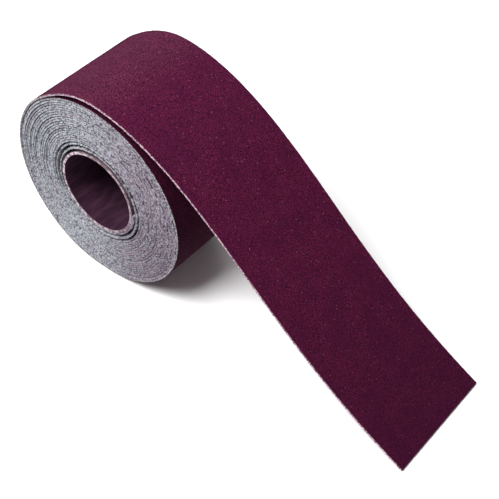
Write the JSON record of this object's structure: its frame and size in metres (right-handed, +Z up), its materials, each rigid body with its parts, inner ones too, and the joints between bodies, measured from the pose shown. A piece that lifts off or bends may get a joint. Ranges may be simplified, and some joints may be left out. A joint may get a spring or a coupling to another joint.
{
  "type": "abrasive cloth roll",
  "caption": "Roll of coated abrasive cloth wound grain side out on a cardboard core, its free end flexing down to the surface.",
  "frame": {"origin": "middle of the core's bore, on the roll's axis and halfway along it", "axes": "+Y along the roll's axis, +Z up from the surface that the roll lies on, +X the way the free end runs"},
  "size_m": [0.1414, 0.038, 0.064],
  "materials": {
    "core_lining": "matt dark paper",
    "core_board": "matt wound board",
    "wound_strip": "cut cloth edges with grain between them",
    "cloth_backing": "resin-filled twill, matt",
    "abrasive_grain": "sharp grain in a dark plum resin coat"
  },
  "bodies": {
    "roll": {"core_liner": "core_lining", "core_tube": "core_board", "inner_turns": "wound_strip", "wound_pack": "wound_strip", "outer_turn_cloth": "cloth_backing", "outer_turn_grain": "abrasive_grain"},
    "panel_1": {"tail_1_cloth": "cloth_backing", "tail_1_grain": "abrasive_grain"},
    "panel_2": {"tail_2_cloth": "cloth_backing", "tail_2_grain": "abrasive_grain"},
    "panel_3": {"tail_3_cloth": "cloth_backing", "tail_3_grain": "abrasive_grain"},
    "panel_4": {"tail_4_cloth": "cloth_backing", "tail_4_grain": "abrasive_grain"},
    "panel_5": {"tail_5_cloth": "cloth_backing", "tail_5_grain": "abrasive_grain"},
    "panel_6": {"tail_6_cloth": "cloth_backing", "tail_6_grain": "abrasive_grain"},
    "panel_7": {"tail_7_cloth": "cloth_backing", "tail_7_grain": "abrasive_grain"}
  },
  "joints": [
    {"name": "tail_bend_1", "type": "hinge", "parent": "roll", "child": "panel_1", "pos_m": [0, 0, 0.03277], "axis": [0, 1, 0], "range_deg": [-15, 5], "stiffness_Nm_per_rad": 0.1, "springref_deg": -0.22},
    {"name": "tail_bend_2", "type": "hinge", "parent": "panel_1", "child": "panel_2", "pos_m": [0.01791, 0, 0.02916], "axis": [0, 1, 0], "range_deg": [-15, 12], "stiffness_Nm_per_rad": 0.1, "springref_deg": -0.02},
    {"name": "tail_bend_3", "type": "hinge", "parent": "panel_2", "child": "panel_3", "pos_m": [0.03412, 0, 0.02058], "axis": [0, 1, 0], "range_deg": [-15, 12], "stiffness_Nm_per_rad": 0.1, "springref_deg": 0.11},
    {"name": "tail_bend_4", "type": "hinge", "parent": "panel_3", "child": "panel_4", "pos_m": [0.04891, 0, 0.00969], "axis": [0, 1, 0], "range_deg": [-15, 12], "stiffness_Nm_per_rad": 0.1, "springref_deg": 0.18},
    {"name": "tail_bend_5", "type": "hinge", "parent": "panel_4", "child": "panel_5", "pos_m": [0.06327, 0, -0.00178], "axis": [0, 1, 0], "range_deg": [-15, 12], "stiffness_Nm_per_rad": 0.1, "springref_deg": 0.21},
    {"name": "tail_bend_6", "type": "hinge", "parent": "panel_5", "child": "panel_6", "pos_m": [0.07804, 0, -0.01271], "axis": [0, 1, 0], "range_deg": [-15, 12], "stiffness_Nm_per_rad": 0.1, "springref_deg": 0.19},
    {"name": "tail_bend_7", "type": "hinge", "parent": "panel_6", "child": "panel_7", "pos_m": [0.09364, 0, -0.0224], "axis": [0, 1, 0], "range_deg": [-15, 12], "stiffness_Nm_per_rad": 0.1, "springref_deg": 0.13}
  ]
}
